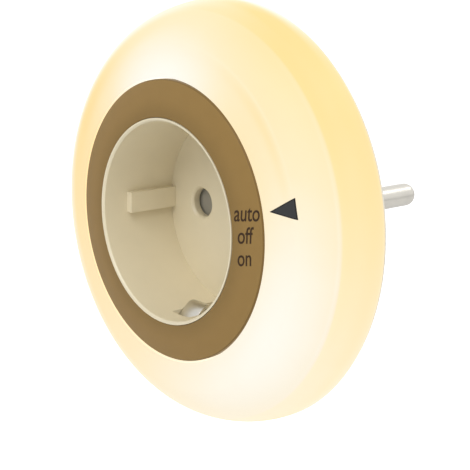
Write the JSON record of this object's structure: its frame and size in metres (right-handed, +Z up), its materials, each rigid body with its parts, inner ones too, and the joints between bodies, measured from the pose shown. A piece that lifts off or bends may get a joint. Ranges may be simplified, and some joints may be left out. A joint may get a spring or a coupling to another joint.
{
  "type": "plug-in night light",
  "caption": "Round glowing wall night light with a pass-through mains socket in its middle and a turning ring that selects auto, off or on.",
  "frame": {"origin": "centre of the end face of the plug boss, between the two pins", "axes": "+Y along the pins into the wall, the lit front faces -Y, +Z up, +X to the right as seen from the front"},
  "size_m": [0.084, 0.06, 0.084],
  "materials": {
    "housing_plastic": "fine spark-eroded texture, warm white",
    "well_plastic": "satin cream moulding",
    "dial_bronze": "satin bronze lacquer with dark printed words",
    "diffuser_opal": "opal satin plastic lit from inside",
    "pointer_print": "slate grey inlay",
    "selector_plastic": "grey acetal, as moulded",
    "contact_brass": "stamped, slightly tarnished",
    "pin_nickel": "nickel plated, fine drawn lines",
    "spring_steel": "bright spring temper",
    "screw_zinc": "bright zinc plate",
    "board_laminate": "green solder mask over glass laminate",
    "pad_copper": "gold flashed copper",
    "lamp_package": "white package with yellow phosphor",
    "reflector_white": "bright white moulding",
    "carrier_resin": "buff urea moulding",
    "shutter_plastic": "grey acetal, as moulded",
    "film_capacitor": "ochre epoxy box",
    "can_sleeve": "dark blue shrink sleeve",
    "chip_black": "moulded epoxy",
    "resistor_body": "blue lacquer with bands",
    "fuse_ceramic": "ceramic tube with caps",
    "sensor_clear": "water-clear epoxy",
    "lead_brown": "soft insulation",
    "lead_blue": "soft insulation"
  },
  "bodies": {
    "housing": {"rear_housing": "housing_plastic", "plug_shell": "housing_plastic", "socket_body": "well_plastic", "well_floor": "well_plastic", "dial_ring": "dial_bronze", "detent_spring": "spring_steel", "switch_pads": "pad_copper", "circuit_board": "board_laminate", "leds": "lamp_package", "reflector": "reflector_white", "board_screws": "screw_zinc", "case_screws": "screw_zinc", "line_pin": "pin_nickel", "neutral_pin": "pin_nickel", "line_contact": "contact_brass", "neutral_contact": "contact_brass", "contact_carrier": "carrier_resin", "earth_bracket": "pin_nickel", "shutter_spring": "spring_steel", "dropper_capacitor": "film_capacitor", "smoothing_capacitor": "can_sleeve", "bridge_rectifier": "chip_black", "resistors": "resistor_body", "fuse": "fuse_ceramic", "switch_transistor": "chip_black", "light_sensor": "sensor_clear", "sensor_legs": "spring_steel", "line_lead": "lead_brown", "neutral_lead": "lead_blue"},
    "selector": {"diffuser": "diffuser_opal", "pointer_mark": "pointer_print", "selector_ring": "selector_plastic", "selector_wiper": "contact_brass"},
    "shutter": {"shutter": "shutter_plastic"}
  },
  "joints": [
    {"name": "selector_turn", "type": "hinge", "parent": "housing", "child": "selector", "pos_m": [0, -0.0375, 0], "axis": [0, 1, 0], "range_deg": [0, 25], "deforming": ["detent_spring"]},
    {"name": "shutter_turn", "type": "hinge", "parent": "housing", "child": "shutter", "pos_m": [0, -0.0204, 0], "axis": [0, 1, 0], "range_deg": [0, 36], "stiffness_Nm_per_rad": 0.002, "springref_deg": -20.05}
  ]
}
